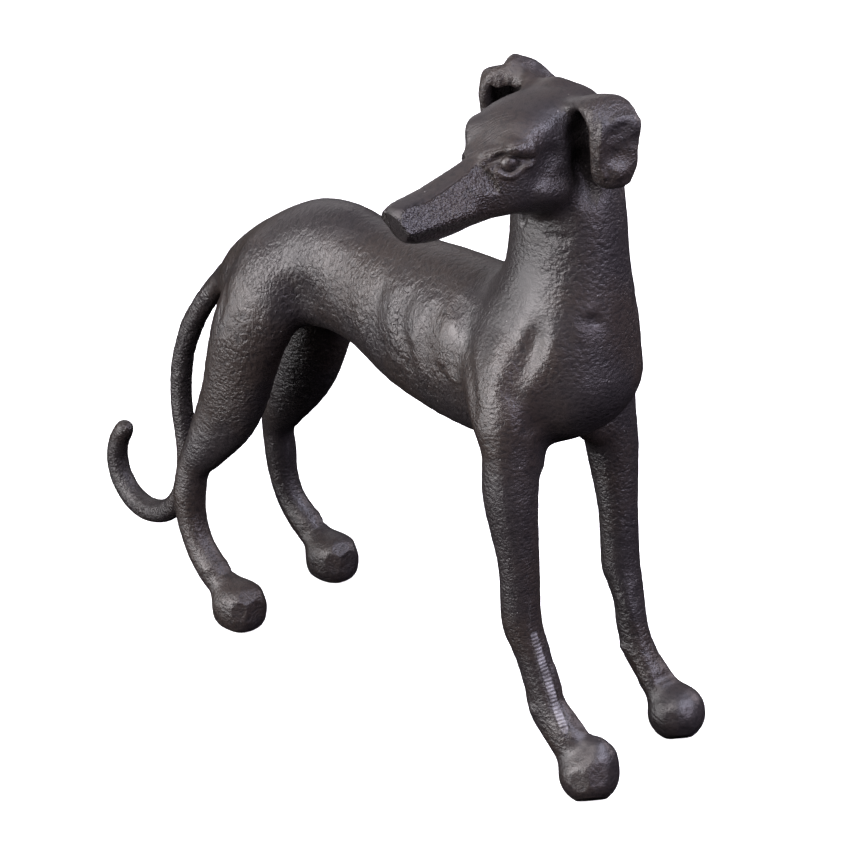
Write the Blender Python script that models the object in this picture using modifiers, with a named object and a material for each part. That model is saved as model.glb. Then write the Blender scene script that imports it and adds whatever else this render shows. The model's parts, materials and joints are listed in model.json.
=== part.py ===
"""Cast iron greyhound that stands on its own four feet, head turned to its right.

One casting, so one solid. The dog faces -Y, its left side is +X and it stands
on Z = 0. The tables below draw it in millimetres at MODELLED_HEIGHT, and UNIT
carries them to the height wanted.
"""
import math

import bmesh
import bpy
import numpy as np
from mathutils import Matrix, Vector

# Driving sizes, in metres and degrees
STATUE_HEIGHT = 0.2902     # floor to the top of the far ear
LEG_SPACING = 0.060        # between the leg centres of one pair, across the body
HEAD_TURN = 101.0          # head yaw from straight ahead towards the dog's right
HEAD_TILT = 3.5            # head roll, its left side lower

# The figure's own measures, in the millimetres of the tables; -1 is its right side, 1 its left
MODELLED_HEIGHT = 290.2
HEAD_PIVOT = (0, -160, 262)
EAR_THICKNESS = 4.8
EAR_SLANT = 0.35           # how far the ear's front edge swings in towards the skull
EAR_ROOTS = {-1: (2.5, -21, 277.5), 1: (-1, 21, 274)}   # ahead of the pivot, to its left, up
EAR_ROOT_SIZE = (5.5, 11, 12)
EAR_WEB = (1.5, -30, 270)  # closes the right ear behind, between its flap and the skull
EAR_WEB_SIZE = (4, 6.5, 11)
CHEEK_PLACE = (19, 10.5, 253.5)
CHEEK_SIZE = (13, 7, 10.5)
BROWS = {-1: (34, -11.2, 273), 1: (33.5, 11.2, 273)}
BROW_SIZE = (8.5, 5, 4.2)
ARMPIT = (19.5, -158, 136)
ARMPIT_SIZE = (6.5, 8, 8)
FRONT_PAWS = {-1: (-201.3, 12.7), 1: (-199.8, 12.5)}   # y of the ball and its radius
RIGHT_TOES = (1.5, -1.7, 5.2)      # middle of the swelling over the right front paw
RIGHT_TOES_RADIUS = 10.0
HIND_PAW_Y = 1.0
HIND_PAW_SIZE = (22.0, 24.8, 22.8)
HIND_PAW_ROUND = 9.6
SOLE_DEPTH = 1.6           # how much of each paw the flat sole takes off
SOLE_LEVEL = 1.3           # height of the cut soles before the cast is set down on the floor
TAIL_RADIUS = 5.5

# Fineness of the cast surface
SIDES = 28                 # points round a lofted section
SPAN_STEPS = 5             # sections worked out between two stations
EAR_COLUMNS = 9            # points across an ear
EAR_STEPS = 3
VOXEL = 1.5
FILLET_PASSES = 6          # smoothing over the whole dog
BODY_PASSES = 30           # further smoothing of the body
BODY_ZONE = (126, 238)     # from what height to what height the body is smoothed
BODY_FADE = 14
FACES_KEPT = 9400          # triangles left on the finished solid
WELD = 0.00001             # metres

UNIT = STATUE_HEIGHT / MODELLED_HEIGHT
LEG_X = LEG_SPACING / UNIT / 2
IRON_COLOUR = (0.045, 0.040, 0.038, 1.0)


def clear_scene():
    for item in list(bpy.data.objects):
        bpy.data.objects.remove(item)


def new_collection(name):
    group = bpy.data.collections.new(name)
    bpy.context.scene.collection.children.link(group)
    return group


def add_mesh_object(name, mesh, group):
    item = bpy.data.objects.new(name, mesh)
    group.objects.link(item)
    return item


def spline_rows(rows, steps=SPAN_STEPS):
    """Rows of numbers drawn out into a smooth curve through all of them."""
    rows = np.array(rows, float)
    first = 2 * rows[0] - rows[1]
    last = 2 * rows[-1] - rows[-2]
    padded = np.vstack([first, rows, last])
    out = []
    for k in range(1, len(rows)):
        p0, p1, p2, p3 = padded[k - 1:k + 3]
        for step in range(steps):
            t = step / steps
            out.append(0.5 * (2 * p1 + (p2 - p0) * t
                              + (2 * p0 - 5 * p1 + 4 * p2 - p3) * t ** 2
                              + (3 * p1 - p0 - 3 * p2 + p3) * t ** 3))
    out.append(rows[-1])
    return np.array(out)


def oval(half_wide, half_up, half_down, squareness):
    """Corner offsets of one section: 2 is an ellipse, more is boxier."""
    angles = np.arange(SIDES) * 2 * math.pi / SIDES
    across = np.cos(angles)
    rise = np.sin(angles)
    power = 2 / squareness
    wide = half_wide * np.sign(across) * np.abs(across) ** power
    tall = np.where(rise > 0, half_up, half_down)
    tall = tall * np.sign(rise) * np.abs(rise) ** power
    return wide, tall


def loft(name, stations, lateral, group, along=None):
    """Closed skin through oval sections.

    A station is x, y, z, half width, half height above and below, squareness.
    Sections face the path's own direction unless one is given in along.
    """
    rows = spline_rows(stations)
    centres = rows[:, :3]
    tangents = np.gradient(centres, axis=0)
    lateral = Vector(lateral).normalized()
    points = []
    for centre, tangent, row in zip(centres, tangents, rows):
        forward = Vector(along if along else tangent).normalized()
        upward = forward.cross(lateral).normalized()
        sideways = upward.cross(forward).normalized()
        wide, tall = oval(*[max(value, 0.1) for value in row[3:]])
        for w, t in zip(wide, tall):
            points.append((Vector(centre) + sideways * w + upward * t) * UNIT)
    faces = []
    for ring in range(len(rows) - 1):
        for side in range(SIDES):
            a = ring * SIDES + side
            b = ring * SIDES + (side + 1) % SIDES
            faces.append((a, b, b + SIDES, a + SIDES))
    faces.append(tuple(reversed(range(SIDES))))
    faces.append(tuple(range(len(points) - SIDES, len(points))))
    mesh = bpy.data.meshes.new(name)
    mesh.from_pydata(points, [], faces)
    form = bmesh.new()
    form.from_mesh(mesh)
    bmesh.ops.recalc_face_normals(form, faces=form.faces)
    form.to_mesh(mesh)
    form.free()
    return add_mesh_object(name, mesh, group)


def ellipsoid(name, centre, radii, group, turn=0.0):
    """Swelling muscle or bone: a ball stretched along its own axes."""
    form = bmesh.new()
    bmesh.ops.create_uvsphere(form, u_segments=24, v_segments=16, radius=1.0)
    mesh = bpy.data.meshes.new(name)
    form.to_mesh(mesh)
    form.free()
    item = add_mesh_object(name, mesh, group)
    item.location = Vector(centre) * UNIT
    item.scale = Vector(radii) * UNIT
    item.rotation_euler = (0, 0, turn)
    return item


def from_profile(rows):
    """Stations of the trunk from y, back height, belly height, half width."""
    return [(0, y, (top + low) / 2, wide, (top - low) / 2, (top - low) / 2, power)
            for y, top, low, wide, power in rows]


def make_trunk(group):
    rows = [
        (33, 159, 149, 6, 2.0),
        (26, 170.3, 142, 12, 2.0),
        (13, 182.6, 139, 19, 2.0),
        (-5, 195, 141, 23, 2.1),
        (-22, 203.7, 147, 24, 2.1),
        (-40, 206.0, 149.5, 22.5, 2.1),
        (-56, 203.7, 146.5, 21.5, 2.1),
        (-76, 201.8, 137.5, 23.5, 2.2),
        (-96, 202, 133, 26, 2.2),
        (-116, 201.5, 131, 28, 2.2),
        (-136, 200.5, 131.5, 29, 2.2),
        (-152, 199, 134, 29.5, 2.2),
        (-166, 197, 140.5, 28.5, 2.2),
        (-178, 192, 148, 23.5, 2.1),
        (-185.5, 185, 157, 17, 2.0),
        (-189.5, 177, 166, 7, 2.0),
    ]
    loft("trunk", from_profile(rows), (1, 0, 0), group, along=(0, -1, 0))


def make_neck(group):
    rows = [
        (150, -150, 27, 24, 30.5),
        (165, -152, 30.5, 27, 35),
        (180, -154, 31, 31, 34.8),
        (192, -156, 28.2, 34, 32),
        (202, -159, 24.5, 30.5, 28),
        (211, -160, 22, 26.5, 25.5),
        (221, -160, 20, 25.5, 24.5),
        (234, -159.5, 19, 24.5, 23.8),
        (246, -158.5, 18.5, 23, 22.8),
        (258, -158, 18, 21, 21),
        (268, -158, 13, 14, 14),
    ]
    stations = [(0, y, z, wide, rear, front, 2.1) for z, y, wide, rear, front in rows]
    loft("neck", stations, (1, 0, 0), group, along=(0, 0, 1))


def head_axes():
    """Directions along the snout, towards the left cheek and up the head."""
    turn = math.radians(HEAD_TURN)
    tilt = math.radians(HEAD_TILT)
    snout = Vector((-math.sin(turn), -math.cos(turn), 0))
    level = Vector((math.cos(turn), -math.sin(turn), 0))
    cheek = level * math.cos(tilt) - Vector((0, 0, math.sin(tilt)))
    return snout, cheek, snout.cross(cheek)


def head_point(ahead, left, up):
    """A place on the head, from the point where the neck's axis meets it."""
    snout, cheek, crown = head_axes()
    pivot = Vector(HEAD_PIVOT)
    return pivot + snout * ahead + cheek * left + crown * (up - pivot.z)


def make_head(group):
    snout, cheek, crown = head_axes()
    rows = [
        (-16, 266, 250, 8, 2.0),
        (-10, 279.5, 243, 14, 2.2),
        (-1, 286, 238, 17, 2.5),
        (12, 286.6, 238, 17.3, 2.8),
        (24, 284.5, 241, 17, 3.2),
        (33, 282, 243.5, 16, 3.5),
        (38, 278.5, 243.5, 14.6, 3.4),
        (42.5, 272, 242.5, 11.8, 2.8),
        (49, 266.2, 241.5, 9.6, 2.8),
        (60, 261.6, 239.5, 8.4, 3.0),
        (71, 258.2, 239, 7.6, 3.0),
        (80, 257, 241.5, 7.0, 2.8),
        (84.5, 255.2, 246, 5.4, 2.4),
    ]
    stations = []
    for ahead, top, low, wide, power in rows:
        centre = head_point(ahead, 0, (top + low) / 2)
        half = (top - low) / 2
        stations.append((*centre, wide, half, half, power))
    loft("head", stations, cheek, group, along=snout)
    yaw = math.atan2(snout.y, snout.x)
    ahead, out, up = CHEEK_PLACE
    for side in (-1, 1):
        ellipsoid("cheek", head_point(ahead, out * side, up), CHEEK_SIZE, group, yaw)
        ellipsoid("brow", head_point(*BROWS[side]), BROW_SIZE, group, yaw)


def make_ear(side, group):
    """Folded ear: out from the skull, over, and down as a hollow leaf."""
    snout, cheek, crown = head_axes()
    rows = {
        -1: [
            (4, 6, 277, 11.5, 0.5),
            (5.5, 14, 282, 9.5, 1),
            (7.5, 22, 286.8, 6.6, 2.2),
            (11, 29, 284.8, 8.6, 3.0),
            (12.4, 33, 278, 9.6, 3.6),
            (11, 33.5, 270, 9.4, 3.0),
            (10.3, 32.5, 262, 8.2, 3.6),
            (9, 31, 257.5, 5.5, 2.4),
        ],
        1: [
            (2, 6, 277, 12, 0.5),
            (4, 14, 283.5, 11, 1),
            (6.5, 22, 287, 10, 2.4),
            (7.6, 29, 285.5, 10.2, 3.6),
            (7.8, 32.6, 279, 10.0, 3.6),
            (7.5, 32, 270, 9.0, 3.0),
            (6.8, 31.8, 262, 8.2, 3.6),
            (5.5, 31, 257.5, 5.5, 2.4),
        ],
    }[side]
    rows = spline_rows(rows, EAR_STEPS)
    centres = [head_point(row[0], row[1] * side, row[2]) for row in rows]
    across = (snout - cheek * side * EAR_SLANT).normalized()
    points = []
    for k, (centre, row) in enumerate(zip(centres, rows)):
        before = centres[max(k - 1, 0)]
        after = centres[min(k + 1, len(centres) - 1)]
        outward = across.cross(after - before).normalized() * -side
        for column in range(EAR_COLUMNS):
            share = 2 * column / (EAR_COLUMNS - 1) - 1
            curl = row[4] * (share ** 2 - 0.5)
            points.append((centre + across * row[3] * share + outward * curl) * UNIT)
    faces = []
    for k in range(len(rows) - 1):
        for column in range(EAR_COLUMNS - 1):
            a = k * EAR_COLUMNS + column
            faces.append((a, a + 1, a + 1 + EAR_COLUMNS, a + EAR_COLUMNS))
    mesh = bpy.data.meshes.new("ear")
    mesh.from_pydata(points, [], faces)
    ear = add_mesh_object("ear", mesh, group)
    wall = ear.modifiers.new("wall", "SOLIDIFY")
    wall.thickness = EAR_THICKNESS * UNIT
    wall.offset = 0
    yaw = math.atan2(snout.y, snout.x)
    ellipsoid("ear_root", head_point(*EAR_ROOTS[side]), EAR_ROOT_SIZE, group, yaw)
    if side < 0:
        ellipsoid("ear_web", head_point(*EAR_WEB), EAR_WEB_SIZE, group, yaw)


def leg_stations(rows, side):
    """Stations down one leg from x, y, z, half width, half depth front and rear.

    The last number of a row sets the left leg that much farther back than the right.
    """
    return [(side * x * LEG_X / 30, y + (back if side > 0 else 0), z, wide, front, rear, 2.0)
            for x, y, z, wide, front, rear, back in rows]


def make_front_leg(side, group):
    """Shoulder blade, straight foreleg, bent pastern and ball paw."""
    rows = [
        (12, -143, 195, 8, 13, 13, 0),
        (19, -147, 184, 11, 19, 19, 0),
        (25, -151, 169, 13.5, 20, 20, 0),
        (29, -155, 154, 14, 14.5, 15, 0),
        (29.5, -157.5, 144, 13.4, 11.5, 10.8, 0),
        (31, -159, 133, 11.8, 10.8, 12.4, 0),
        (32, -160.5, 120, 10.4, 10.3, 12.0, 0),
        (31.4, -164, 95, 8.6, 8.1, 8.5, -0.4),
        (31, -165.5, 70, 8.1, 8.3, 8.5, -1.6),
        (30, -170.8, 57, 6.9, 7.2, 8.6, -1.9),
        (30, -176.2, 43.5, 6.4, 6.8, 8.6, -0.4),
        (30, -180.5, 34, 6.8, 7.7, 10.5 if side < 0 else 8.2, 0.5),
        (30, -189, 24, 7.6, 10.4 if side < 0 else 6.0, 8.2, 0),
        (30, -198, 15, 8, 8, 8, 0),
    ]
    loft("foreleg", leg_stations(rows, side), (1, 0, 0), group)
    y, radius = FRONT_PAWS[side]
    middle = Vector((side * LEG_X, y, radius + SOLE_LEVEL - SOLE_DEPTH))
    ellipsoid("front_paw", middle, (radius, radius, radius), group)
    if side < 0:
        toes = RIGHT_TOES_RADIUS
        ellipsoid("toes", middle + Vector(RIGHT_TOES), (toes, toes, toes), group)
    out, along, up = ARMPIT
    ellipsoid("armpit", (side * out, along, up), ARMPIT_SIZE, group)


def make_hind_leg(side, group):
    """Haunch, thigh, hock and pastern down to a blocky paw."""
    rows = [
        (8, -18, 190, 8, 13, 13, 0),
        (15.5, -16, 178, 12.5, 21, 19, 0),
        (20.5, -10, 161, 14.5, 20.5, 18.5, 0),
        (22.5, -3, 144, 14, 19, 18, 0),
        (22.5, 2.5, 128, 13, 18, 17, -0.8),
        (22.5, 8, 112, 12, 17.5, 15.5, 0.2),
        (23, 15.5, 97, 10.5, 16, 13.5, 2.4),
        (25.5, 24.5, 80, 8.8, 10.6, 10, 2.8),
        (27, 30.5, 70, 7.4, 7.8, 8, 1.0),
        (28.5, 32.3, 57, 7.5, 7.6, 7.7, -0.6),
        (29, 31.6, 45, 6.9, 7.1, 7.0, -0.6),
        (29.5, 26.9, 33, 6.8, 7.2, 6.6, 0),
        (30, 18.7, 24, 7.2, 7.6, 7.4, 0),
        (30, 8, 16, 7, 7, 7, 0),
    ]
    loft("hind_leg", leg_stations(rows, side), (1, 0, 0), group)
    form = bmesh.new()
    bmesh.ops.create_cube(form, size=1.0)
    bmesh.ops.scale(form, vec=Vector(HIND_PAW_SIZE) * UNIT, verts=form.verts)
    mesh = bpy.data.meshes.new("hind_paw")
    form.to_mesh(mesh)
    form.free()
    paw = add_mesh_object("hind_paw", mesh, group)
    paw_z = HIND_PAW_SIZE[2] / 2 + SOLE_LEVEL - SOLE_DEPTH
    paw.location = Vector((side * LEG_X, HIND_PAW_Y, paw_z)) * UNIT
    round_over = paw.modifiers.new("round_over", "BEVEL")
    round_over.width = HIND_PAW_ROUND * UNIT
    round_over.segments = 5


def make_tail(group):
    """Tail that drops from the rump and curls up behind, round all along."""
    route = [
        (18, 168, 1.2),
        (35, 151.5, 1.12),
        (51.5, 132, 1.0),
        (62, 112, 0.97),
        (66.8, 92, 0.97),
        (66.8, 74, 0.97),
        (65, 57, 0.97),
        (67, 40, 0.97),
        (75.5, 23.5, 1.0),
        (89, 15.2, 1.1),
        (102, 15.6, 1.1),
        (111.5, 23, 1.05),
        (115.5, 34, 1.0),
        (113, 46, 0.95),
        (108.7, 53, 0.88),
    ]
    curve = bpy.data.curves.new("tail", "CURVE")
    curve.dimensions = "3D"
    curve.bevel_depth = TAIL_RADIUS * UNIT
    curve.bevel_resolution = 5
    curve.resolution_u = 6
    curve.use_fill_caps = True
    spline = curve.splines.new("BEZIER")
    spline.bezier_points.add(len(route) - 1)
    for point, (y, z, share) in zip(spline.bezier_points, route):
        point.co = Vector((0, y, z)) * UNIT
        point.radius = share
        point.handle_left_type = "AUTO"
        point.handle_right_type = "AUTO"
    tail = bpy.data.objects.new("tail", curve)
    group.objects.link(tail)
    y, z, share = route[-1]
    tip = TAIL_RADIUS * share
    ellipsoid("tail_tip", (0, y, z), (tip, tip, tip), group)


def joined(group, name):
    """All the forms of a collection in one mesh, still overlapping."""
    graph = bpy.context.evaluated_depsgraph_get()
    whole = bmesh.new()
    for item in list(group.objects):
        mesh = bpy.data.meshes.new_from_object(item.evaluated_get(graph))
        mesh.transform(item.matrix_world)
        whole.from_mesh(mesh)
        bpy.data.meshes.remove(mesh)
    for item in list(group.objects):
        bpy.data.objects.remove(item)
    bmesh.ops.remove_doubles(whole, verts=whole.verts, dist=WELD)
    mesh = bpy.data.meshes.new(name)
    whole.to_mesh(mesh)
    whole.free()
    return mesh


def add_floor_cutter(group):
    """Block under the floor that cuts the soles flat."""
    form = bmesh.new()
    bmesh.ops.create_cube(form, size=2 * STATUE_HEIGHT)
    mesh = bpy.data.meshes.new("floor_cutter")
    form.to_mesh(mesh)
    form.free()
    cutter = add_mesh_object("floor_cutter", mesh, group)
    cutter.location.z = SOLE_LEVEL * UNIT - STATUE_HEIGHT
    cutter.hide_render = True
    cutter.display_type = "WIRE"
    return cutter


def evaluated_mesh(item):
    bpy.context.view_layer.update()
    graph = bpy.context.evaluated_depsgraph_get()
    return bpy.data.meshes.new_from_object(item.evaluated_get(graph))


def body_weight(height):
    """How fully a point shares in the soft modelling of chest, back and haunch."""
    low, high = BODY_ZONE
    rise = min(max((height - low) / BODY_FADE, 0), 1)
    fall = min(max((high - height) / BODY_FADE, 0), 1)
    return min(rise, fall)


def add_smoothing(dog, name, passes, zone=""):
    soften = dog.modifiers.new(name, "SMOOTH")
    soften.factor = 0.5
    soften.iterations = round(passes)
    soften.vertex_group = zone


def apply_modifiers(dog):
    dog.data = evaluated_mesh(dog)
    dog.modifiers.clear()


def body_carvings():
    """Lines worked into chest and flank: name, reach, height, and places on the right."""
    return [
        ("rib_rear", 5.5, 0.8, [(22, -69, 188), (23, -68, 178), (22.5, -69, 168), (21, -72, 160)]),
        ("rib_mid", 5.5, 1.0, [(22, -88, 192), (25, -86, 182), (25.5, -88, 172), (24, -92, 159)]),
        ("rib_front", 5.5, 1.0,
         [(23, -104, 192), (26, -101, 182), (26.5, -103, 172), (25, -108, 158)]),
        ("rib_shoulder", 6.5, 0.8, [(25, -121, 186), (27, -119, 178), (27, -121, 168)]),
        ("flank", 16.0, -1.4, [(22.5, -35, 171)]),
        ("breast_furrow", 5.0, -1.6,
         [(25, -166, 196), (27.5, -166, 190), (32, -165, 182), (36, -163, 173), (36, -161, 166)]),
        ("breast_hollow", 7.0, -1.0, [(13.5, -183, 199)]),
    ]


def head_carvings():
    """Eyes under their brows: name, reach, height, and places ahead, left and up."""
    return [
        ("eye", 4.2, 2.0, [(42.9, 13.5, 268.7)]),
        ("eye_corner", 3.6, -1.4, [(49, 9.5, 267.5)]),
        ("temple", 8.0, -0.8, [(24, 16.5, 268)]),
    ]


def carve(dog, name, reach, height, route):
    """Raises or sinks the skin along a route, fading out at its reach."""
    route = np.array(route, float)
    spots = np.array([corner.co[:] for corner in dog.data.vertices]) / UNIT
    nearest = np.linalg.norm(spots - route[0], axis=1)
    for start, end in zip(route, route[1:]):
        span = end - start
        share = np.clip((spots - start) @ span / (span @ span), 0, 1)
        nearest = np.minimum(nearest, np.linalg.norm(spots - start - share[:, None] * span, axis=1))
    weights = np.clip(1 - (nearest / reach) ** 2, 0, 1) ** 2
    zone = dog.vertex_groups.new(name=name)
    for index in np.nonzero(weights)[0]:
        zone.add([int(index)], float(weights[index]), "REPLACE")
    push = dog.modifiers.new(name, "DISPLACE")
    push.direction = "NORMAL"
    push.mid_level = 0
    push.strength = height * UNIT
    push.vertex_group = zone.name


def cast_together(mesh, group, cutters):
    """The forms run into one skin, softened, carved, faceted and cut flat below."""
    dog = add_mesh_object("greyhound", mesh, group)
    skin = dog.modifiers.new("skin", "REMESH")
    skin.mode = "VOXEL"
    skin.voxel_size = VOXEL * UNIT
    apply_modifiers(dog)
    zone = dog.vertex_groups.new(name="body")
    for corner in dog.data.vertices:
        zone.add([corner.index], body_weight(corner.co.z / UNIT), "REPLACE")
    add_smoothing(dog, "soften_body", BODY_PASSES, "body")
    add_smoothing(dog, "soften_all", FILLET_PASSES)
    apply_modifiers(dog)
    for side in (-1, 1):
        for name, reach, height, places in body_carvings():
            carve(dog, name, reach, height, [(side * x, y, z) for x, y, z in places])
        for name, reach, height, places in head_carvings():
            carve(dog, name, reach, height, [head_point(a, side * b, c) for a, b, c in places])
    facet = dog.modifiers.new("facet", "DECIMATE")
    facet.ratio = FACES_KEPT / (2 * len(dog.data.polygons))
    soles = dog.modifiers.new("soles", "BOOLEAN")
    soles.operation = "DIFFERENCE"
    soles.solver = "EXACT"
    soles.object = add_floor_cutter(cutters)
    return dog


def centre_on_origin(dog):
    """Applies the modifiers and puts the origin under the middle of the box."""
    apply_modifiers(dog)
    spots = np.array([corner.co[:] for corner in dog.data.vertices])
    middle = (spots.min(axis=0) + spots.max(axis=0)) / 2
    dog.data.transform(Matrix.Translation((-middle[0], -middle[1], -SOLE_LEVEL * UNIT)))


def cast_iron():
    """Dark brown-black iron with a dull waxed sheen."""
    iron = bpy.data.materials.new("cast_iron")
    iron.use_nodes = True
    shader = iron.node_tree.nodes["Principled BSDF"]
    shader.inputs["Base Color"].default_value = IRON_COLOUR
    shader.inputs["Metallic"].default_value = 0.6
    shader.inputs["Roughness"].default_value = 0.5
    return iron


clear_scene()
statue = new_collection("greyhound_statue")
forms = new_collection("forms")
cutting_tools = new_collection("cutters")
make_trunk(forms)
make_neck(forms)
make_head(forms)
make_tail(forms)
for leg_side in (-1, 1):
    make_ear(leg_side, forms)
    make_front_leg(leg_side, forms)
    make_hind_leg(leg_side, forms)
greyhound = cast_together(joined(forms, "greyhound"), statue, cutting_tools)
centre_on_origin(greyhound)
greyhound.data.materials.clear()
greyhound.data.materials.append(cast_iron())
greyhound.data.shade_smooth()
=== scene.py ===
"""Looks of the cast iron greyhound: fine forms, grain and finish, and floor, camera and light."""
import json
import math

import bpy
import numpy as np
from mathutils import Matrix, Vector, noise


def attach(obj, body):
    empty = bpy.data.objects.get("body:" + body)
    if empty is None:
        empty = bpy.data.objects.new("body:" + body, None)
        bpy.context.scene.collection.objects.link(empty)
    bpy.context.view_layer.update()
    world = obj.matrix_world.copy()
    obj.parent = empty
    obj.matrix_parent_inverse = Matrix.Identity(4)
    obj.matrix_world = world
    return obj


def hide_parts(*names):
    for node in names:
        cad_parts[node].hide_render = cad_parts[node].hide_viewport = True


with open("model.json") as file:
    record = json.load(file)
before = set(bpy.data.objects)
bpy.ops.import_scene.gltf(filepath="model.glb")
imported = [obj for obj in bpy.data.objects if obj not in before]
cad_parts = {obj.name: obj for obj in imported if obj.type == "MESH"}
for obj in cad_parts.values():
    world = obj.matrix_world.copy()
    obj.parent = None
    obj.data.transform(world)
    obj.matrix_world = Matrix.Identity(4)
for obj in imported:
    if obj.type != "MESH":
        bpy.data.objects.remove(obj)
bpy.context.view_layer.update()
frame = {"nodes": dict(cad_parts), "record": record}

# The casting. A real one is poured in grey iron in a sand mould and knocked out
# rough, in one piece from nose to tail. Here the CAD solid gets one even skin,
# its facets are smoothed away, and the head gets a finer mesh for its detail.
MM = 0.001
WELD = 0.01 * MM
ROUGH_GRID = 1.4 * MM      # mesh width while the facets are taken out
GRID = 1.6 * MM            # mesh width of the finished skin
FACET_PASSES = 45          # smoothing that takes the solid's facets out everywhere
BODY_PASSES = 110          # further smoothing below the head
GRID_PASSES = 3            # smoothing that takes out the steps of the last mesh
HEAD_FROM = 236            # height in millimetres up to which that has its full strength
HEAD_FADE = 12             # millimetres above it where the further smoothing ends

SOLES = {mount["name"]: Vector(mount["pos_m"]) for mount in frame["record"]["mounts"]}
HIND_SOLES = (SOLES["sole_hind_right"] + SOLES["sole_hind_left"]) / 2
SOLES_BACK, SOLES_UP = 1, 1.3       # the hind soles' middle in the body's own millimetres
HEAD_TURN = math.radians(101)       # to the dog's right
HEAD_TILT = math.radians(3.5)       # the left ear lower


def on_body(x, y, z):
    """A place in millimetres to the dog's left, behind its hind paws and above the floor."""
    return Vector((x, y - SOLES_BACK, z - SOLES_UP)) * MM + HIND_SOLES


SNOUT = Vector((-math.sin(HEAD_TURN), -math.cos(HEAD_TURN), 0))
LEVEL = Vector((math.cos(HEAD_TURN), -math.sin(HEAD_TURN), 0))
CHEEK = LEVEL * math.cos(HEAD_TILT) - Vector((0, 0, math.sin(HEAD_TILT)))
CROWN = SNOUT.cross(CHEEK)
NAPE_UP = 262
NAPE = on_body(0, -160, NAPE_UP)


def head_way(ahead, left, up):
    """A direction on the head, or a move in millimetres."""
    return SNOUT * ahead + CHEEK * left + CROWN * up


def on_head(ahead, left, up):
    """A place on the head in millimetres ahead of the nape, to its left and above the floor."""
    return NAPE + head_way(ahead, left, up - NAPE_UP) * MM


def head_row(side, *places):
    """Places on the head's left, or on its right where side is -1."""
    return [on_head(ahead, left * side, up) for ahead, left, up in places]


def body_row(side, *places):
    """Places on the dog's left, or on its right where side is -1."""
    return [on_body(x * side, y, z) for x, y, z in places]


def make_active(piece):
    """Selects one piece alone."""
    bpy.ops.object.select_all(action="DESELECT")
    piece.select_set(True)
    bpy.context.view_layer.objects.active = piece


def remesh(piece, width):
    """Gives the piece one closed skin of even faces."""
    make_active(piece)
    skin = piece.modifiers.new("skin", "REMESH")
    skin.mode = "VOXEL"
    skin.voxel_size = width
    bpy.ops.object.modifier_apply(modifier=skin.name)


def read_rows(items, name):
    """Three numbers from each vertex, normal or face."""
    flat = np.empty(len(items) * 3, np.float32)
    items.foreach_get(name, flat)
    return flat.reshape(-1, 3).astype(float)


def read_points(piece):
    return read_rows(piece.data.vertices, "co")


def read_normals(piece):
    return read_rows(piece.data.vertex_normals, "vector")


def write_points(piece, points):
    piece.data.vertices.foreach_set("co", points.astype(np.float32).ravel())
    piece.data.update()


def neighbour_mean(piece, values):
    """Each point's neighbours, averaged."""
    edges = np.empty(len(piece.data.edges) * 2, np.int32)
    piece.data.edges.foreach_get("vertices", edges)
    start, end = edges.reshape(-1, 2).T
    count = len(values)
    valence = np.bincount(start, minlength=count) + np.bincount(end, minlength=count)
    sums = [np.bincount(start, column[end], count) + np.bincount(end, column[start], count)
            for column in values.T]
    return np.stack([total / valence for total in sums], axis=1)


def relax(piece, passes, shares=1.0, pull=0.5, swell=0.512):
    """Evens out short ripples: each pass pulls the skin in, then lets it swell to its girth."""
    points = read_points(piece)
    for step in range(passes * 2):
        move = neighbour_mean(piece, points) - points
        points += move * (pull if step % 2 == 0 else -swell) * shares
    write_points(piece, points)


def refine(piece, spots, radius):
    """Halves the mesh width round some spots, within a radius in millimetres."""
    make_active(piece)
    centres = read_rows(piece.data.polygons, "center")
    chosen = np.zeros(len(centres), bool)
    for spot in spots:
        chosen |= np.linalg.norm(centres - np.array(spot), axis=1) < radius * MM
    for items in (piece.data.vertices, piece.data.edges):
        items.foreach_set("select", np.zeros(len(items), bool))
    piece.data.polygons.foreach_set("select", chosen)
    bpy.ops.object.mode_set(mode="EDIT")
    bpy.ops.mesh.select_mode(type="FACE")
    bpy.ops.mesh.subdivide(number_cuts=1)
    bpy.ops.object.mode_set(mode="OBJECT")


casting = bpy.data.objects.new("cast_greyhound", frame["nodes"]["greyhound"].data.copy())
bpy.context.collection.objects.link(casting)
make_active(casting)
bpy.ops.object.mode_set(mode="EDIT")
bpy.ops.mesh.select_all(action="SELECT")
bpy.ops.mesh.remove_doubles(threshold=WELD)
bpy.ops.object.mode_set(mode="OBJECT")
remesh(casting, ROUGH_GRID)
relax(casting, FACET_PASSES)
above_fade = (read_points(casting)[:, 2] - on_body(0, 0, HEAD_FROM).z) / (HEAD_FADE * MM)
relax(casting, BODY_PASSES, np.clip(1 - above_fade, 0, 1)[:, None])
remesh(casting, GRID)
relax(casting, GRID_PASSES)
refine(casting, [on_head(76, 0, 252), on_head(62, 0, 254), on_head(48, 0, 258), on_head(32, 0, 264),
                 on_head(16, 0, 270), on_head(6, 26, 272), on_head(8, -27, 275)], 19)
bpy.ops.object.shade_smooth()


def smooth_route(places, steps=6):
    """A curve through a few places, as a close row of points."""
    places = np.array(places, float)
    padded = np.vstack([2 * places[0] - places[1], places, 2 * places[-1] - places[-2]])
    row = []
    for k in range(1, len(places)):
        before, start, end, after = padded[k - 1:k + 3]
        for step in range(steps):
            t = step / steps
            row.append(0.5 * (2 * start + (end - before) * t
                              + (2 * before - 5 * start + 4 * end - after) * t ** 2
                              + (3 * start - before - 3 * end + after) * t ** 3))
    row.append(places[-1])
    return np.array(row)


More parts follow.
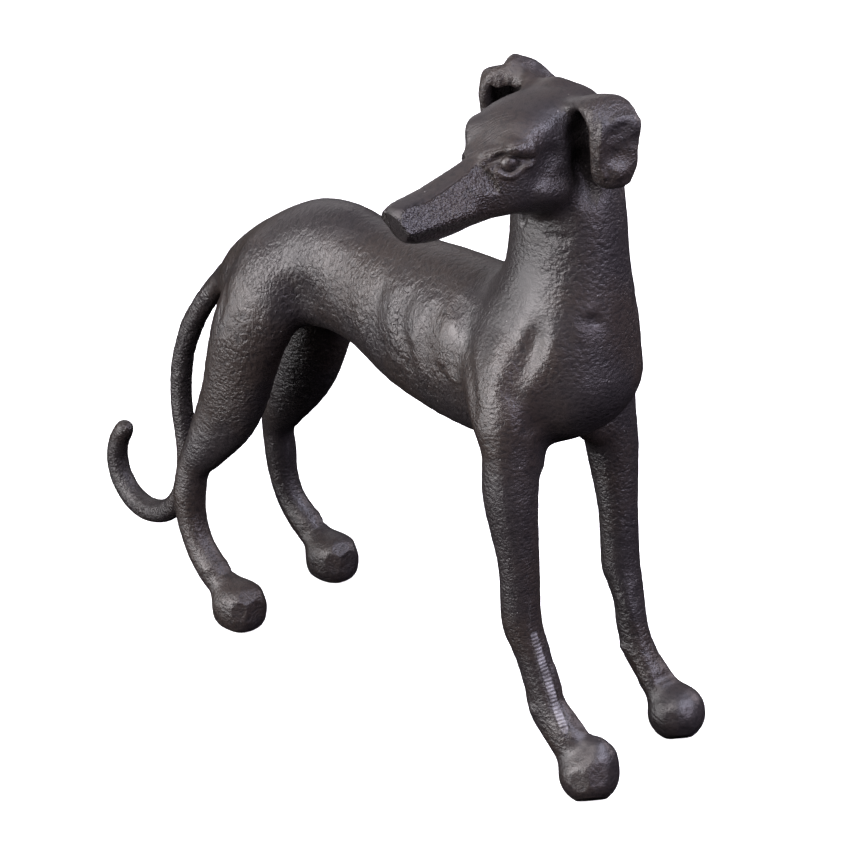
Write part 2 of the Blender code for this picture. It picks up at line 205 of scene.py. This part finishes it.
def measure_to(points, places):
    """How far each point is from a curve through places, and how far along it that is nearest."""
    if len(places) == 1:
        return np.linalg.norm(points - np.array(places[0]), axis=1), np.zeros(len(points))
    row = smooth_route(places)
    nearest = np.full(len(points), np.inf)
    along = np.zeros(len(points))
    walked = 0.0
    for start, end in zip(row, row[1:]):
        span = end - start
        share = np.clip((points - start) @ span / (span @ span), 0, 1)
        gap = np.linalg.norm(points - start - share[:, None] * span, axis=1)
        closer = gap < nearest
        nearest[closer] = gap[closer]
        length = np.linalg.norm(span)
        along[closer] = walked + share[closer] * length
        walked += length
    return nearest, along


def close_to(points, places, reach, spare=1.2):
    """The points in a box round some places, so that only these need measuring."""
    row = np.array(places, float)
    low, high = row.min(axis=0) - reach * spare, row.max(axis=0) + reach * spare
    return np.nonzero(((points > low) & (points < high)).all(axis=1))[0]


def fade_from(points, places, reach):
    """1 on the places and 0 at the reach."""
    close = close_to(points, places, reach)
    share = np.zeros(len(points))
    gap = measure_to(points[close], places)[0]
    share[close] = np.clip(1 - (gap / reach) ** 2, 0, 1) ** 2
    return share


def work(piece, strokes):
    """Strokes in the skin: each has a reach, a height along the skin or a move, and its places."""
    points = read_points(piece)
    normals = read_normals(piece)
    lift = np.zeros_like(points)
    for reach, height, places in strokes:
        way = normals * height if isinstance(height, (int, float)) else np.array(height)
        lift += fade_from(points, places, reach * MM)[:, None] * way * MM
    write_points(piece, points + lift)


def file_flat(piece, cuts):
    """Planes filed on the skin: each has a place on the plane, the way it faces and its reach."""
    points = read_points(piece)
    for place, facing, reach in cuts:
        facing = np.array(Vector(facing).normalized())
        offset = points - np.array(place)
        proud = offset @ facing
        inside = (proud > 0) & (np.linalg.norm(offset, axis=1) < reach * MM)
        points[inside] -= proud[inside, None] * facing
    write_points(piece, points)


# Skull and snout. Moulded as one with the neck: a flat forehead between sharp
# brows, a stop, and a long boxed snout whose top was dressed flat with a file.
for side in (-1, 1):
    work(casting, [
        (5.0, -0.3, head_row(side, (50, 1, 266), (64, 1, 261), (80, 1, 257))),
        (5.6, 2.5, head_row(side, (81, 6.2, 249.6), (74, 7.0, 249.8), (65, 7.8, 250),
                            (55, 8.6, 250.6))),
        (7.0, -1.1, head_row(side, (25, 16.4, 268), (29, 16.2, 262))),
        (7.0, 1.9, head_row(side, (26, 16.8, 253.5), (20, 17, 253))),
        (7.0, -2.4, head_row(side, (9.5, 14.8, 262), (7.5, 14.8, 257.5), (6.0, 16, 254.5),
                             (4.6, 18, 251.5))),
        (6.8, -3.0, head_row(side, (12, 16.6, 274), (10, 16.8, 266), (8, 17, 258), (6.5, 16.5, 251),
                             (5, 16, 246))),
    ])
    file_flat(casting, [(on_head(66, 8.3 * side, 253), head_way(0.16, 0.82 * side, 0.55), 23)])
work(casting, [
    (5.5, 0.5, head_row(1, (41, 11, 274.0), (36, 14.3, 275.6), (32, 13.9, 277.7), (25, 14.1, 279))),
    (8.0, -1.1, [on_head(2, 0, 286.5), on_head(2, 5, 286)]),
    (8.0, 0.7, head_row(-1, (40, 10.3, 274))),
    (5.0, 0.7, head_row(-1, (42, 9.6, 269.5))),
    (10.0, 1.7, head_row(-1, (5, 8, 286.4))),
])
file_flat(casting, [(on_head(84.2, 0, 252.6), head_way(0.91, 0, -0.41), 12)])

# Eyes. A ball in a shallow socket under the brow, with a heavy upper lid that
# hangs over it and a thin lower one, pressed into the mould by hand. The right
# eye hardly shows: it is cut half as deep and sits further back.
EYE = (40.9, 12.5, 267.2)        # the middle of the lids
EYEBALL = (39.7, 11.2, 267.0)    # the middle of the ball
EYE_RADIUS = 3.1 * MM
EYE_SPOTS = head_row(1, EYE) + head_row(-1, EYE)
RIGHT_EYE_BACK = 4.2
RIGHT_EYE_OUT = 0.3              # how far out its ball sits for each millimetre back
refine(casting, EYE_SPOTS, 10)


def set_ball(piece, centre, radius):
    """Pushes the skin out over a ball."""
    points = read_points(piece)
    offset = points - np.array(centre)
    gap = np.linalg.norm(offset, axis=1)
    covered = gap < radius
    points[covered] = np.array(centre) + offset[covered] * (radius / gap[covered, None])
    write_points(piece, points)


for side, share, brow, back in ((-1, 0.5, 0.2, RIGHT_EYE_BACK), (1, 1, 0.8, 0)):
    work(casting, [
        (5.2, -1.5 * share, head_row(side, (42.4 - back, 10.6, 267.2), (38.2 - back, 13.8, 266.9))),
        (4.6, 1.5 * share, head_row(side, (40.2 - back, 13.0, 273.2), (37.3 - back, 14.6, 273.0),
                                    (33.6 - back, 15.3, 272.4))),
        (2.8, brow, head_row(side, (45.8 - back, 2.2, 269.4), (43.9 - back, 4.8, 270.6),
                             (42.2 - back, 8.2, 271.4))),
    ])
    work(casting, [
        (1.8, -1.0 * share, head_row(side, (46.9 - back, 6.0, 266.5), (44.7 - back, 7.5, 267.6),
                                     (42.5 - back, 9.3, 268.9), (40.8 - back, 12.3, 270.3),
                                     (38.7 - back, 13.8, 269.7), (35.1 - back, 15.2, 268.4),
                                     (32.6 - back, 15.8, 268.3))),
        (2.2, 1.0 * share, head_row(side, (43.6 - back, 10.0, 264.6), (42.1 - back, 11.6, 263.0),
                                    (40.0 - back, 13.1, 262.7), (37.2 - back, 14.6, 264.6),
                                    (34.3 - back, 15.5, 266.4), (33.1 - back, 15.7, 267.0))),
    ])
    ball = (EYEBALL[0] - back, EYEBALL[1] + RIGHT_EYE_OUT * back, EYEBALL[2])
    set_ball(casting, head_row(side, ball)[0], EYE_RADIUS)

# Ears. Folded leaves cast with the head: a thick flat rim in front, a hollow
# spoon inside, and a rounded tip that hangs beside the cheek.
work(casting, [
    (7.0, -2.1, head_row(1, (8.0, 35, 279.5), (7.2, 35.3, 275.5), (7.6, 35.2, 272.5))),
    (3.8, -0.9, head_row(1, (11.4, 34, 279), (11.0, 34.2, 274.5), (10.6, 34.2, 270.5))),
    (1.8, 1.0, head_row(1, (14.4, 32.0, 283.6), (14.9, 32.7, 280), (15.2, 32.6, 276),
                        (15.0, 32.5, 272), (14.4, 32.4, 267.5), (12.6, 33.4, 263.4))),
    (3.6, 0.9, head_row(1, (9.4, 34.6, 285.2), (5.8, 35.3, 286.2), (2.8, 35.4, 286.2))),
    (8.0, -1.0, head_row(1, (9, 30, 288.6), (4, 31, 288.8))),
    (5.0, 0.9, head_row(1, (1.0, 36.6, 283.4))),
    (4.2, head_way(1.2, -0.9, 0), head_row(1, (1.6, 37, 276.6))),
    (7.0, head_way(-0.9, 0.6, 0), head_row(1, (2.4, 36.8, 267.4))),
    (4.6, 1.0, head_row(1, (7.4, 35.2, 264.6))),
    (5.6, head_way(0, 0, -3.0), head_row(-1, (13.5, 29.4, 287.2), (11, 31, 287.6),
                                         (8.5, 32.5, 287.4))),
    (4.6, 1.2, head_row(-1, (9.5, 26.2, 289.4))),
    (5.0, head_way(0.3, -0.8, 1.3), head_row(-1, (16.3, 34, 281))),
    (5.6, head_way(0.3, 0.2, -3.4), head_row(-1, (15, 22.5, 284.6), (12.8, 19.8, 285.6))),
    (4.5, head_way(0.2, 0, -1.4), head_row(-1, (17.6, 25.6, 283))),
    (4.0, -0.8, head_row(-1, (13, 33, 281), (12, 33.5, 274), (11.5, 33, 267))),
    (7.0, head_way(0, 0, -2.8), head_row(-1, (4.5, 18.5, 288.4), (2.8, 15, 287.2))),
    (4.5, head_way(0.3, 0, -1.6), head_row(-1, (17.4, 24.4, 283.2), (16, 22, 282.9),
                                           (14.4, 19.6, 282.9))),
])
right_ear_top = fade_from(read_points(casting), head_row(-1, (15, 22, 284), (17, 27, 283)), 6 * MM)
relax(casting, 5, right_ear_top[:, None])

# Neck, chest and shoulders. The muscles are cut into the pattern as soft furrows
# and swellings, with a dimple over the breastbone and two creases under the jaw.
# The left side, which doesn't show, is cut shallower.
refine(casting, body_row(-1, (18.6, -152.6, 235)), 6)
for side, share in ((-1, 1), (1, 0.35)):
    work(casting, [
        (7.4, -0.75 * share, body_row(side, (25.4, -164.8, 190), (27.3, -163.8, 186),
                                      (29.4, -162.5, 181.6), (31.9, -161.3, 177.3),
                                      (34.6, -160.8, 171.7))),
        (9.0, 0.25 * share, body_row(side, (25.8, -172.4, 187), (27.1, -172.9, 175))),
        (8.0, 0.5, body_row(side, (31.1, -151.5, 186), (35, -152.4, 179))),
        (6.5, -1.2 * share, body_row(side, (34.6, -166, 168), (33.4, -167.8, 162.5),
                                     (31.4, -168.6, 157))),
        (2.6, -0.6 * share, body_row(side, (12.4, -182.6, 200.2), (10.8, -183.8, 198.8))),
        (4.0, 0.5 * share, body_row(side, (14, -181.6, 204))),
        (6.0, 0.5 * share, body_row(side, (16, -180, 195))),
        (5.4, -0.9, body_row(side, (20.9, -122.5, 191.5), (23.8, -127.4, 187), (29, -134.5, 178.5),
                             (35, -141, 171.6), (38.6, -144.6, 166), (40.2, -146.9, 161))),
        (1.4, -1.0 * share, body_row(side, (18.9, -153.6, 237.4), (18.3, -152.3, 234.8),
                                     (18.4, -151.6, 232.6))),
        (1.9, -0.9 * share, body_row(side, (19.0, -164.8, 231.5), (17.9, -169, 231.4),
                                     (16.4, -172.2, 231.8))),
    ])
work(casting, [(2.2, -0.8, body_row(1, (-2.4, -186, 159.4)))])

# Ribs and flank. Part of the same pattern: three shallow ribs behind the
# shoulder, a hollow before the thigh, and a crease where the thigh begins.
for side in (-1, 1):
    work(casting, [
        (4.4, -0.45, body_row(side, (20.9, -80, 187), (23.4, -79, 178), (24, -78, 171),
                              (22.3, -74.8, 158))),
        (4.4, -0.5, body_row(side, (21.7, -97.2, 188.2), (24.6, -94.9, 180), (25.4, -95.8, 174),
                             (26.6, -100.4, 167), (26, -102, 160))),
        (4.0, 0.5, body_row(side, (23.1, -88.7, 184.5), (25.3, -89, 176.5), (26, -93.3, 168))),
        (4.0, 0.6, body_row(side, (22, -109, 190), (25.6, -105.4, 181.6), (27.4, -104.4, 173))),
        (2.4, -0.5, body_row(side, (28.2, -120.2, 163.4), (27.6, -117, 165.6))),
        (4.0, 0.7, body_row(side, (28.4, -126, 162.6))),
        (9.0, 0.5, body_row(side, (26.6, -122.6, 181))),
        (12.0, -0.9, body_row(side, (21.5, -34, 169.8))),
        (3.0, -0.6, body_row(side, (23.6, 5.6, 178), (28.6, 1.6, 170), (33, -0.2, 162),
                             (34, 1, 154))),
    ])

# Legs. Solid iron rods, run into the body in the mould: straight forelegs with
# a knob behind the pastern, and hind legs with a ring above each paw.
work(casting, [
    (4.0, 1.1, body_row(-1, (36.4, -176, 34))),
    (3.6, 1.0, body_row(1, (24.5, -174.1, 35.7))),
    (6.0, 1.1, body_row(-1, (28, -180.2, 50), (27.6, -182, 44))),
    (5.0, -1.1, body_row(-1, (28.4, -193, 33))),
    (7.0, 1.5, body_row(-1, (27.8, -203, 27.2))),
    (3.0, -0.7, body_row(1, (-28.2, -194.9, 31.0), (-34.2, -192.6, 31.0))),
    (3.0, -0.7, body_row(1, (30.7, -193.9, 27.6), (25.4, -192.9, 27))),
    (7.0, -1.1, body_row(1, (24.6, -165.2, 62), (24.6, -166.6, 55.5), (24.0, -168.6, 51.5))),
    (7.0, -1.2, body_row(1, (30.6, -178.8, 60), (31.6, -180.6, 52), (32.6, -183, 44),
                         (32.4, -188.1, 34))),
    (5.0, -0.8, body_row(1, (24.0, -179, 30), (24.4, -182, 25))),
])
for side in (-1, 1):
    work(casting, [
        (1.5, -0.7, body_row(side, (37.4, 14.6, 22.2), (34.2, 9.4, 24.4), (29.6, 7.6, 25),
                             (25, 9.4, 23.6), (22.6, 13.6, 21))),
        (2.6, 0.4, body_row(side, (36.8, 17, 26), (33.6, 12.6, 28.6), (28, 11.4, 29),
                            (24.4, 14, 27))),
    ])

# Paws. Plain iron balls that take the weight, dressed on a grinding wheel that
# left flats with worn ridges. The hind ones stand on a wider foot.
FRONT_PAWS = [on_body(-30, -201.3, 13), on_body(30, -199.8, 13)]
HIND_PAWS = [on_body(-30, 1, 12), on_body(30, 1, 12)]
HIND_RADIUS = 13
FOOT_SPREAD = 0.34         # how much wider the foot is than the ball, in radii
refine(casting, FRONT_PAWS + HIND_PAWS, 15)


def paw_flats(centre, radius, flats):
    """Flats on a ball: the way each faces, how far it cuts in, and its reach."""
    return [(Vector(centre) + Vector(way).normalized() * (radius - depth) * MM, way, reach)
            for way, depth, reach in flats]


file_flat(casting, paw_flats(FRONT_PAWS[0], 12.9, [
    ((-0.92, -0.30, 0.24), 1.5, 9), ((-0.52, -0.79, 0.34), 1.4, 9),
    ((-0.02, -0.95, 0.2), 1.0, 9), ((0.6, -0.76, 0.2), 0.6, 9), ((-0.42, -0.5, -0.76), 1.7, 10)]))
file_flat(casting, paw_flats(FRONT_PAWS[1], 12.7, [
    ((-0.88, -0.42, 0.30), 1.0, 9), ((-0.38, -0.80, 0.52), 1.1, 9), ((-0.55, -0.80, -0.2), 0.9, 9),
    ((0.35, -0.9, 0.2), 0.9, 9), ((-0.42, -0.5, -0.76), 1.2, 10)]))
work(casting, [(16, 0.9, [centre]) for centre in HIND_PAWS])
for centre in HIND_PAWS:
    file_flat(casting, paw_flats(centre, HIND_RADIUS, [
        ((-0.90, -0.10, 0.42), 1.3, 12), ((-0.72, -0.66, 0.16), 1.5, 12),
        ((-0.12, -0.95, 0.10), 1.6, 12), ((-0.25, -0.62, 0.74), 1.6, 12),
        ((0.1, -0.2, 0.97), 1.9, 12), ((0.72, -0.62, 0.3), 1.5, 12), ((0.93, 0.2, 0.3), 1.3, 12)]))

for centre in HIND_PAWS:
    points = read_points(casting)
    offset = (points - np.array(centre)) / (HIND_RADIUS * MM)
    of_paw = np.linalg.norm(offset, axis=1) < 1.3
    low = np.clip(-offset[:, 2], 0, 1) * of_paw
    points[:, :2] += offset[:, :2] * (FOOT_SPREAD * low ** 3 * HIND_RADIUS * MM)[:, None]
    write_points(casting, points)

# Hide. The sand leaves shallow wrinkles all over; the founder's file leaves rows
# of cross marks down the mould seams, and handling polishes the high places.
# How strong each mark is at each point is painted on the skin, for the material.
WRINKLE_SIZE = np.array([4.6, 4.6, 2.8]) * MM
WRINKLE_HEIGHT = 0.20 * MM
WORN_FOLD = 0.05 * MM      # how far a fully worn point stands above its neighbours
SHIN = [(-33.4, -173.8, 67.4), (-32.7, -177.4, 57), (-32.4, -181.5, 46.6), (-33, -186, 38),
        (-34.9, -192, 31)]
SEAMS = [
    [(-33.2, -170.4, 118), (-33.2, -171.3, 100), (-32.7, -172.3, 82), (-33.2, -173.6, 69)],
    [(32, -171, 118), (32, -171.6, 101), (33, -174.1, 74), (29.5, -179.3, 58.4), (29, -184, 41),
     (27, -191, 30)],
    [(-5.4, 46, 138), (-5.4, 59.6, 120), (-5.2, 64, 104), (-5.2, 67.4, 83), (-5.1, 65.5, 64)],
    [(-5.2, 69, 38), (-5.4, 84, 19), (-5.6, 101, 15), (-5.4, 114, 26), (-5, 115, 42)],
    [(24, -14, 128), (24, -9, 112), (24, 1, 98), (24, 14, 84), (27, 22, 68), (29, 24.5, 52),
     (29, 20, 38)],
]
SEAM_REACH = 2.6 * MM
SEAM_SHARE = 0.45          # how strong their file marks are against those on the shin
RUBBED = [
    (9, body_row(-1, (22.5, -157.3, 208.4))), (8, body_row(-1, (22.6, -158, 214))),
    (9, body_row(-1, (26.7, -123, 181))), (9, EYE_SPOTS[:1]), (9, EYE_SPOTS[1:]),
]


def ease(values, none, full):
    """0 where a value is none, 1 where it is full, and smooth between."""
    share = np.clip((values - none) / (full - none), 0, 1)
    return share * share * (3 - 2 * share)


points = read_points(casting)
normals = read_normals(casting)
ripple = np.array([noise.noise(Vector(spot)) for spot in points / WRINKLE_SIZE])
bulge = ((points - neighbour_mean(casting, points)) * normals).sum(axis=1)
worn = np.clip(bulge / WORN_FOLD, 0, 1)[:, None]
for step in range(3):
    worn = neighbour_mean(casting, worn)
polished = np.zeros(len(points))
for reach, places in RUBBED:
    polished = np.maximum(polished, fade_from(points, places, reach * MM))

# The regions, from millimetres behind the hind paws, above the floor, and on the head.
behind, height = ((points - np.array(on_body(0, 0, 0))) / MM).T[1:]
ahead = (points - np.array(NAPE)) / MM @ np.array(SNOUT)
aside = (points - np.array(NAPE)) / MM @ np.array(CHEEK)
of_head = ease(height, 238, 248)
ears = of_head * ease(np.abs(aside), 21, 25)
facing_brow = normals @ np.array(head_way(0.45, 0, 0.89))
dressed = of_head * np.maximum(ease(facing_brow, 0.6, 0.82) * (1 - ears), ears * 0.45)
pebbled = (of_head * ease(ahead, 30, 54) * ease(np.abs(aside), 2.5, 4.5)
           * (1 - dressed) * (1 - polished))
barrel = ease(height, 120, 140) * ease(height, 235, 205) * ease(behind, -150, -132)
topside = ease(normals[:, 2], 0.55, 0.9)
legs = ease(height, 150, 120)
shanks = ease(height, 100, 70) * ease(behind, -60, -30)
tail = ease(behind, 44, 52)
front_paws = np.max([ease(np.linalg.norm(points - np.array(centre), axis=1) / MM, 18, 14)
                     for centre in FRONT_PAWS], axis=0)
wrinkled = ((0.7 + 0.4 * ease(behind, -150, -128)) * (1 - 0.5 * topside) * (1 - 0.85 * polished)
            * (1 - 0.5 * shanks) * (1 - 0.4 * front_paws) * (1 - of_head))
fine = (of_head * (1 - 0.8 * dressed) * (1 - 0.7 * polished) + 0.4 * ears + 0.6 * tail
        + 0.55 * legs * (1 - front_paws))
polished = np.maximum(polished, tail)
scratched = fade_from(points, head_row(1, (42, -4, 271), (37, 1, 275)), 13 * MM)
filed = np.zeros(len(points))
along_seam = np.zeros(len(points))
for seam in SEAMS + [SHIN]:
    places = [on_body(*place) for place in seam]
    close = close_to(points, places, SEAM_REACH)
    gap, along = measure_to(points[close], places)
    share = np.clip(1 - (gap / SEAM_REACH) ** 2, 0, 1) * (1.0 if seam is SHIN else SEAM_SHARE)
    stronger = share > filed[close]
    filed[close[stronger]] = share[stronger]
    along_seam[close[stronger]] = along[stronger] / MM
lift = ripple * WRINKLE_HEIGHT * (wrinkled + 0.3 * fine)
write_points(casting, points + normals * lift[:, None])
painted = {
    "worn": worn[:, 0], "polished": polished, "wrinkled": wrinkled, "fine": fine,
    "dressed": np.maximum(dressed, 0.6 * topside), "pebbled": pebbled, "barrel": barrel,
    "filed": filed, "along_seam": along_seam, "scratched": scratched,
    "scratch_run": ahead * -0.67 + aside * 0.74, "scratch_row": ahead * 0.74 + aside * 0.67,
}
for name, values in painted.items():
    layer = casting.data.attributes.new(name, "FLOAT", "POINT")
    layer.data.foreach_set("value", values.astype(np.float32))


class Value:
    """A shader socket that takes part in sums, each of which adds a Math node."""

    def __init__(self, nodes, socket):
        self.nodes = nodes
        self.socket = socket

    def math(self, operation, *others):
        return self.nodes.add("ShaderNodeMath", {"operation": operation}, (self, *others))

    def __add__(self, other):
        return self.math("ADD", other)

    def __mul__(self, other):
        return self.math("MULTIPLY", other)

    __radd__ = __add__
    __rmul__ = __mul__

    def __sub__(self, other):
        return self.math("SUBTRACT", other)

    def __rsub__(self, other):
        return self.nodes.add("ShaderNodeMath", {"operation": "SUBTRACT"}, (other, self))


class Nodes:
    """The node tree of a material or the room, with the shader that it feeds."""

    def __init__(self, owner, shader="Principled BSDF"):
        owner.use_nodes = True
        self.tree = owner.node_tree
        self.shader = self.tree.nodes[shader]

    def set(self, **sockets):
        """Puts numbers, colours or values on the shader's sockets, named with _ for a space."""
        for name, value in sockets.items():
            self.feed(self.shader.inputs[name.replace("_", " ")], value)

    def add(self, kind, settings, inputs, output=0):
        """A node of one type, with its settings and what its sockets take; gives its output."""
        node = self.tree.nodes.new(kind)
        for name, setting in settings.items():
            setattr(node, name, setting)
        if not isinstance(inputs, dict):
            inputs = dict(enumerate(inputs))
        for name, value in inputs.items():
            self.feed(node.inputs[name], value)
        return Value(self, node.outputs[output])

    def feed(self, socket, value):
        if isinstance(value, Value):
            self.tree.links.new(value.socket, socket)
        else:
            socket.default_value = value

    def attribute(self, name):
        return self.add("ShaderNodeAttribute", {"attribute_name": name}, {}, "Fac")

    def noise(self, place, scale, detail, distortion=0.0):
        return self.add("ShaderNodeTexNoise", {},
                        {"Vector": place, "Scale": scale, "Detail": detail,
                         "Distortion": distortion})

    def stretch(self, place, ways):
        return self.add("ShaderNodeVectorMath", {"operation": "MULTIPLY"}, {0: place, 1: ways})

    def ease(self, value, none, full):
        return self.add("ShaderNodeMapRange", {"interpolation_type": "SMOOTHSTEP"},
                        {"Value": value, "From Min": none, "From Max": full})

    def mix(self, share, first, second):
        return self.add("ShaderNodeMix", {"data_type": "RGBA"}, {0: share, 6: first, 7: second}, 2)


FILE_PITCH = 1.5           # millimetres from one file mark to the next
iron_finish = bpy.data.materials.new("blackened_cast_iron")
iron = Nodes(iron_finish)
share_of = {name: iron.attribute(name) for name in painted}
place = iron.add("ShaderNodeTexCoord", {}, {}, "Object")
limb_wrinkles = iron.noise(iron.stretch(place, (1, 1, 1.3)), 560.0, 2.5, 0.2)
barrel_wrinkles = iron.noise(iron.stretch(place, (1, 1.45, 1)), 440.0, 2.0, 0.6)
wrinkles = limb_wrinkles * (1 - share_of["barrel"]) + barrel_wrinkles * share_of["barrel"]
sand = iron.noise(place, 1900.0, 2.0)
fine_grain = iron.noise(place, 900.0, 2.0, 0.5)
pebbles = iron.noise(place, 950.0, 1.5)
roughened = iron.ease(iron.noise(place, 38.0, 3.0), 0.3, 0.62) * 0.6 + 0.4
ladder = (share_of["along_seam"] * (2 * math.pi / FILE_PITCH)).math("SINE")
scratch_place = iron.add("ShaderNodeCombineXYZ", {}, {0: share_of["scratch_run"] * 0.10,
                                                      1: share_of["scratch_row"] * 2.0})
scratches = iron.ease(iron.noise(scratch_place, 1.0, 1.0), 0.58, 0.72) * share_of["scratched"]

# The relief is in millimetres, so each last factor is how high or deep that mark is.
relief = (wrinkles * roughened * share_of["wrinkled"] * 0.85
          + sand * 0.06
          + fine_grain * share_of["fine"] * 0.55
          + pebbles * share_of["pebbled"] * 1.0
          + ladder * share_of["filed"] * 0.07
          - scratches * 0.16)
IRON_DARK = (0.010, 0.009, 0.010, 1)
IRON_BROWN = (0.026, 0.020, 0.018, 1)
IRON_GREY = (0.021, 0.018, 0.019, 1)
PALE_SPECK = (0.26, 0.25, 0.24, 1)
FILED = (0.24, 0.235, 0.25, 1)
tone = iron.mix(iron.ease(iron.noise(place, 26.0, 4.0), 0.42, 0.62), IRON_GREY, IRON_BROWN)
tone = iron.mix(iron.ease(1 - wrinkles, 0.48, 0.66) * 0.6, tone, IRON_DARK)
rungs = (iron.ease(share_of["filed"], 0.5, 0.75) * (ladder * 0.3 + 0.6)
         * (iron.ease(iron.noise(place, 170.0, 1.0), 0.36, 0.6) * 0.75 + 0.25))
tone = iron.mix(rungs, tone, FILED)
# Pale specks over the iron's colour, scattered in patches.
speck_gap = iron.add("ShaderNodeTexVoronoi", {}, {"Vector": place, "Scale": 240.0}, "Distance")
speck_patches = iron.ease(iron.noise(place, 120.0, 1.0), 0.6, 0.64)
specks = iron.ease(0.075 - speck_gap, 0.0, 0.03) * speck_patches
iron.set(
    Base_Color=iron.mix(specks, tone, PALE_SPECK),
    Roughness=(0.30 + iron.noise(place, 300.0, 3.0) * 0.14 - share_of["worn"] * 0.06
               - share_of["polished"] * 0.04 - share_of["pebbled"] * 0.07
               + share_of["dressed"] * 0.14),
    Normal=iron.add("ShaderNodeBump", {}, {"Strength": 1.0, "Distance": MM, "Height": relief}))
casting.data.materials.clear()
casting.data.materials.append(iron_finish)

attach(casting, "root")
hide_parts("greyhound")

# The floor. A plain sheet of white paper laid flat under the paws, wide enough to
# fill every view. Its own glow keeps it white, and it sends no light to the iron.
FLOOR_SIZE = 40
FLOOR_GAP = 0.0001
bpy.ops.object.select_all(action="DESELECT")
bpy.ops.mesh.primitive_plane_add(size=FLOOR_SIZE, location=(0, 0, -FLOOR_GAP))
floor = bpy.context.object
floor.name = "pale_floor"
paper = bpy.data.materials.new("pale_paper")
Nodes(paper).set(Base_Color=(0.9, 0.9, 0.9, 1), Roughness=0.9,
                 Emission_Color=(1, 1, 1, 1), Emission_Strength=0.9)
floor.data.materials.append(paper)
floor.visible_diffuse = False
floor.visible_glossy = False

# The camera. It stands about a metre away at the dog's front right and looks
# down on it through a long lens.
CAMERA_TURN = math.radians(-47.86)
CAMERA_RISE = math.radians(26.27)
CAMERA_DISTANCE = 1.003
LENS = 104.4
aim = on_body(-28, -113.6, 140)
back = Vector((math.sin(CAMERA_TURN) * math.cos(CAMERA_RISE),
               -math.cos(CAMERA_TURN) * math.cos(CAMERA_RISE), math.sin(CAMERA_RISE)))
lens = bpy.data.cameras.new("camera")
lens.lens = LENS
camera = bpy.data.objects.new("camera", lens)
bpy.context.collection.objects.link(camera)
camera.location = aim + back * CAMERA_DISTANCE
camera.rotation_euler = back.to_track_quat("Z", "Y").to_euler()
bpy.context.scene.camera = camera

# The light. Large soft boxes stand to the left and right of the camera, with weaker
# ones above and behind, in a room that is dark below the table.
rightwards = Vector((math.cos(CAMERA_TURN), math.sin(CAMERA_TURN), 0))
towards = Vector((math.sin(CAMERA_TURN), -math.cos(CAMERA_TURN), 0))


def add_soft_box(name, turn, rise, distance, width, height, glow, colour):
    """A soft box, so many degrees to the camera's right and above the level, of an even glow."""
    turn, rise = math.radians(turn), math.radians(rise)
    level = rightwards * math.sin(turn) + towards * math.cos(turn)
    way = level * math.cos(rise) + Vector((0, 0, math.sin(rise)))
    lamp = bpy.data.lights.new(name, "AREA")
    lamp.shape = "RECTANGLE"
    lamp.size = width
    lamp.size_y = height
    lamp.energy = glow * width * height * math.pi
    lamp.color = colour
    stand = bpy.data.objects.new(name, lamp)
    bpy.context.collection.objects.link(stand)
    stand.location = aim + way * distance
    stand.rotation_euler = way.to_track_quat("Z", "Y").to_euler()


add_soft_box("left_box", -62, 18, 1.3, 0.78, 0.72, 12.0, (1, 0.95, 0.965))
add_soft_box("left_low_box", -76, -9, 1.3, 1.6, 0.46, 4.4, (1, 0.98, 1))
add_soft_box("left_rear_box", -97, 13, 1.3, 0.7, 0.6, 2.4, (1, 0.98, 0.98))
add_soft_box("left_high_box", -40, 50, 1.3, 0.9, 0.6, 6.4, (1, 0.93, 0.94))
add_soft_box("right_box", 60, 48, 1.3, 1.5, 0.6, 9.0, (0.82, 0.81, 1))
add_soft_box("right_low_box", 44, 20, 1.3, 1.3, 0.5, 3.8, (0.90, 0.80, 1))
add_soft_box("right_rear_box", 120, 20, 1.3, 0.6, 0.6, 4.2, (1, 0.86, 0.93))
add_soft_box("top_box", -45, 74, 1.4, 0.7, 0.6, 2.1, (1, 0.92, 0.95))
add_soft_box("rear_box", -160, 26, 1.4, 1.4, 0.6, 1.3, (1, 0.95, 0.97))
room = bpy.data.worlds.new("room")
bpy.context.scene.world = room
walls = Nodes(room, "Background")
way = walls.add("ShaderNodeTexCoord", {}, {}, "Generated")
way_up = walls.add("ShaderNodeSeparateXYZ", {}, {0: way}, "Z")
walls.set(Color=(1, 0.97, 0.97, 1),
          Strength=walls.add("ShaderNodeMapRange", {},
                             {"Value": way_up, "From Min": -0.35, "From Max": 0.5,
                              "To Min": 0.0, "To Max": 0.12}))
bpy.context.scene.view_settings.view_transform = "Standard"
